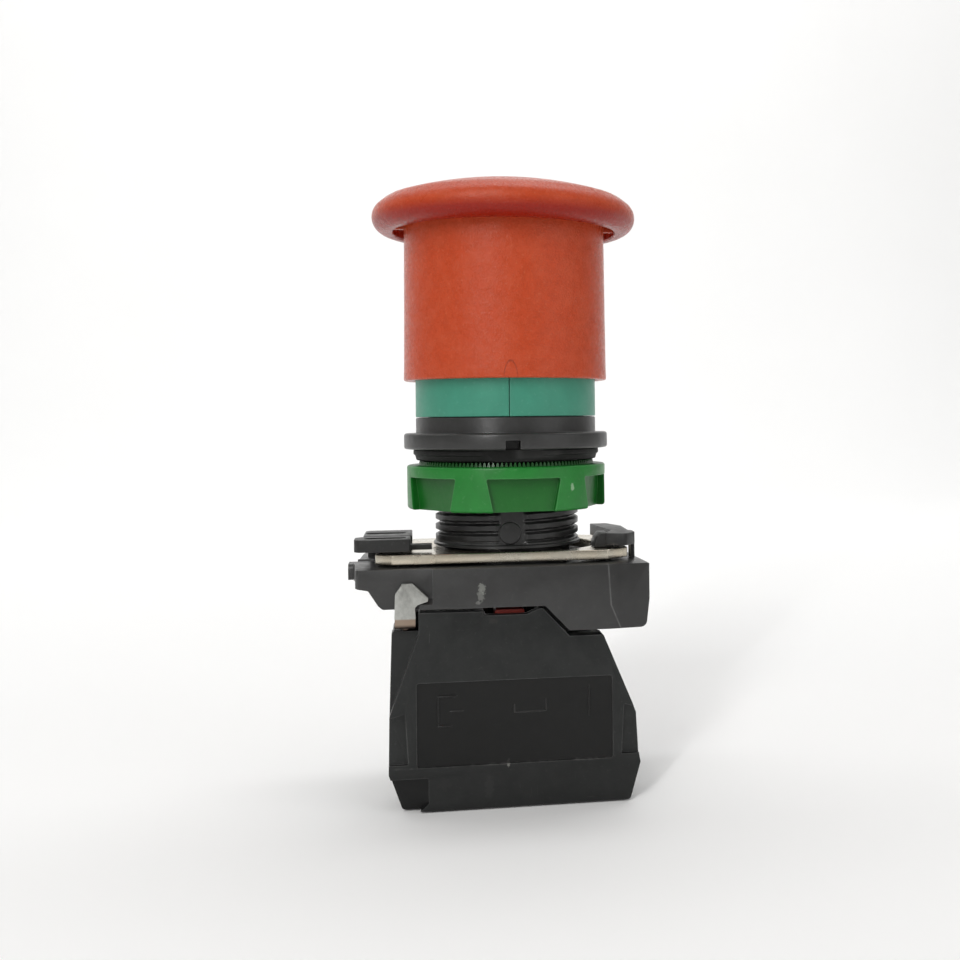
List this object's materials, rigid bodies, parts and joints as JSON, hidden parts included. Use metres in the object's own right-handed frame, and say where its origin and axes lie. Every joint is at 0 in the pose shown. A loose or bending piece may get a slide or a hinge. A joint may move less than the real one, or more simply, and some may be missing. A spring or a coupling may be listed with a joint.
{
  "type": "mushroom push button",
  "caption": "Panel-mount push button: red mushroom head on a threaded operator with fixing nut, clipped to a fixing collar that carries one screw-terminal contact block.",
  "frame": {"origin": "centre of the gasket's lower face, where it seats on the panel's front", "axes": "+Z along the neck's axis towards the mushroom head, -Y towards the face of the contact block, +X to its right"},
  "size_m": [0.044, 0.0402, 0.0917],
  "materials": {
    "red_plastic": "orange-red moulded plastic, fine satin grain, light scuffs",
    "white_nylon": "natural white nylon",
    "spring_steel": "drawn spring wire",
    "black_rubber": "matt black nitrile",
    "teal_plastic": "teal green moulded plastic, satin",
    "charcoal_plastic": "dark grey moulded plastic",
    "green_plastic": "mid green glass-filled plastic",
    "collar_plastic": "dark grey moulded plastic, fine spark-eroded grain",
    "nickel_steel": "nickel-plated pressed steel, edge drawn",
    "zinc_steel": "zinc-plated stamped steel",
    "block_plastic": "near-black moulded plastic, satin",
    "plunger_plastic": "red moulded plastic",
    "copper_alloy": "copper alloy strip",
    "brass_strip": "brass strip",
    "silver_contact": "silver contact tips"
  },
  "bodies": {
    "operator": {"indicator_ring_left": "teal_plastic", "indicator_ring_right": "teal_plastic", "head_body": "charcoal_plastic", "panel_gasket": "black_rubber", "stem_seal": "black_rubber", "detent_spring": "spring_steel", "return_spring": "spring_steel", "collar_frame": "collar_plastic", "guide_lugs_left": "collar_plastic", "guide_ear_right": "collar_plastic", "lock_spring": "spring_steel", "latch_pin": "zinc_steel", "block_cover": "block_plastic", "block_case": "block_plastic", "plunger_spring": "spring_steel", "fixed_contact_left": "brass_strip", "fixed_contact_right": "brass_strip", "fixed_contact_tips": "silver_contact"},
    "button": {"mushroom_cap": "red_plastic", "pusher_stem": "white_nylon", "stem_clip": "spring_steel"},
    "plunger": {"block_plunger": "plunger_plastic", "contact_bridge": "copper_alloy", "moving_contact_tips": "silver_contact", "contact_spring": "spring_steel"},
    "nut": {"fixing_nut": "green_plastic"},
    "lock": {"lock_plate": "nickel_steel", "lock_tab": "collar_plastic"},
    "latch": {"latch_hook": "zinc_steel"},
    "clamp_left": {"terminal_clamp_left": "zinc_steel"},
    "clamp_right": {"terminal_clamp_right": "zinc_steel"},
    "screw_left": {"terminal_screw_left": "zinc_steel"},
    "screw_right": {"terminal_screw_right": "zinc_steel"}
  },
  "joints": [
    {"name": "button_push", "type": "slide", "parent": "operator", "child": "button", "axis": [0, 0, 1], "range_m": [-0.006, 0], "stiffness_N_per_m": 900, "springref_m": 0.012, "deforming": ["return_spring", "detent_spring"]},
    {"name": "plunger_push", "type": "slide", "parent": "operator", "child": "plunger", "axis": [0, 0, 1], "range_m": [-0.006, 0], "deforming": ["plunger_spring"]},
    {"name": "nut_travel", "type": "slide", "parent": "operator", "child": "nut", "axis": [0, 0, 1], "range_m": [-0.0034, 0]},
    {"name": "lock_slide", "type": "slide", "parent": "operator", "child": "lock", "axis": [1, 0, 0], "range_m": [-0.0025, 0], "stiffness_N_per_m": 400, "springref_m": 0.004},
    {"name": "latch_swing", "type": "hinge", "parent": "operator", "child": "latch", "pos_m": [-0.01535, -0.012, -0.0229], "axis": [0, 1, 0], "range_deg": [-12, 0], "stiffness_Nm_per_rad": 0.05, "springref_deg": 11.46},
    {"name": "clamp_left_lift", "type": "slide", "parent": "operator", "child": "clamp_left", "axis": [0, 0, 1], "range_m": [0, 0.0016]},
    {"name": "clamp_right_lift", "type": "slide", "parent": "operator", "child": "clamp_right", "axis": [0, 0, 1], "range_m": [0, 0.0016]},
    {"name": "screw_left_drive", "type": "slide", "parent": "operator", "child": "screw_left", "axis": [0, 0, 1], "range_m": [0, 0.0016]},
    {"name": "screw_right_drive", "type": "slide", "parent": "operator", "child": "screw_right", "axis": [0, 0, 1], "range_m": [0, 0.0016]}
  ],
  "couplings": [
    {"joint": "plunger_push", "follows": "button_push", "ratio": 1},
    {"joint": "clamp_left_lift", "follows": "screw_left_drive", "ratio": 1},
    {"joint": "clamp_right_lift", "follows": "screw_right_drive", "ratio": 1}
  ]
}
